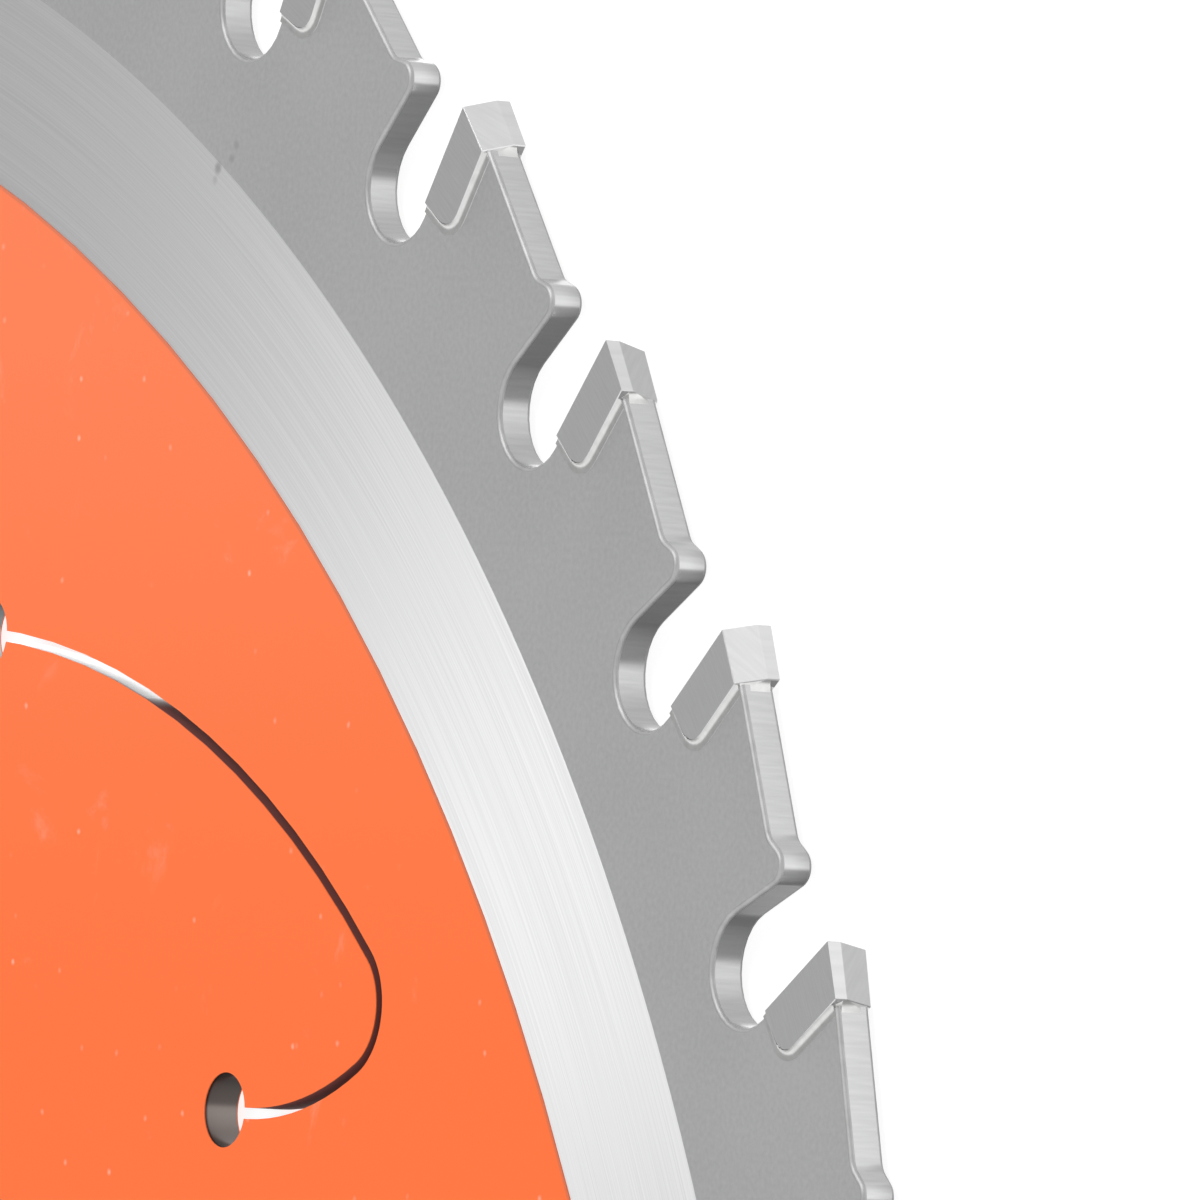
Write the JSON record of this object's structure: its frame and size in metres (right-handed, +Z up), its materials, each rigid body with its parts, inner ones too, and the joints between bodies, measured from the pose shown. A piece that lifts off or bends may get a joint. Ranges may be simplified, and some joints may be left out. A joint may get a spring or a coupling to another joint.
{
  "type": "circular saw blade",
  "caption": "Flat steel circular saw blade with a coloured coat on each face, vibration slots, humped gullets and brazed carbide tips with alternating bevels.",
  "frame": {"origin": "on the axis of the arbor bore, on the surface that the sides of the tips rest on when the blade lies flat", "axes": "+Z up along the bore axis; +X through the cutting corner of the first tooth; teeth cut counter-clockwise seen from +Z"},
  "size_m": [0.25, 0.25, 0.0023],
  "materials": {
    "plate_steel": "ground tool steel, with a bright ring inside a matt tooth rim",
    "orange_coat": "satin low-friction coat with fine pale specks",
    "braze_alloy": "bright silver braze",
    "carbide": "finely ground tungsten carbide"
  },
  "bodies": {
    "root": {"saw_plate": "plate_steel", "coat_top": "orange_coat", "coat_bottom": "orange_coat", "braze": "braze_alloy", "tip_01": "carbide", "tip_02": "carbide", "tip_03": "carbide", "tip_04": "carbide", "tip_05": "carbide", "tip_06": "carbide", "tip_07": "carbide", "tip_08": "carbide", "tip_09": "carbide", "tip_10": "carbide", "tip_11": "carbide", "tip_12": "carbide", "tip_13": "carbide", "tip_14": "carbide", "tip_15": "carbide", "tip_16": "carbide", "tip_17": "carbide", "tip_18": "carbide", "tip_19": "carbide", "tip_20": "carbide", "tip_21": "carbide", "tip_22": "carbide", "tip_23": "carbide", "tip_24": "carbide", "tip_25": "carbide", "tip_26": "carbide", "tip_27": "carbide", "tip_28": "carbide", "tip_29": "carbide", "tip_30": "carbide", "tip_31": "carbide", "tip_32": "carbide", "tip_33": "carbide", "tip_34": "carbide", "tip_35": "carbide", "tip_36": "carbide", "tip_37": "carbide", "tip_38": "carbide", "tip_39": "carbide", "tip_40": "carbide", "tip_41": "carbide", "tip_42": "carbide", "tip_43": "carbide", "tip_44": "carbide", "tip_45": "carbide", "tip_46": "carbide", "tip_47": "carbide", "tip_48": "carbide"}
  },
  "joints": []
}
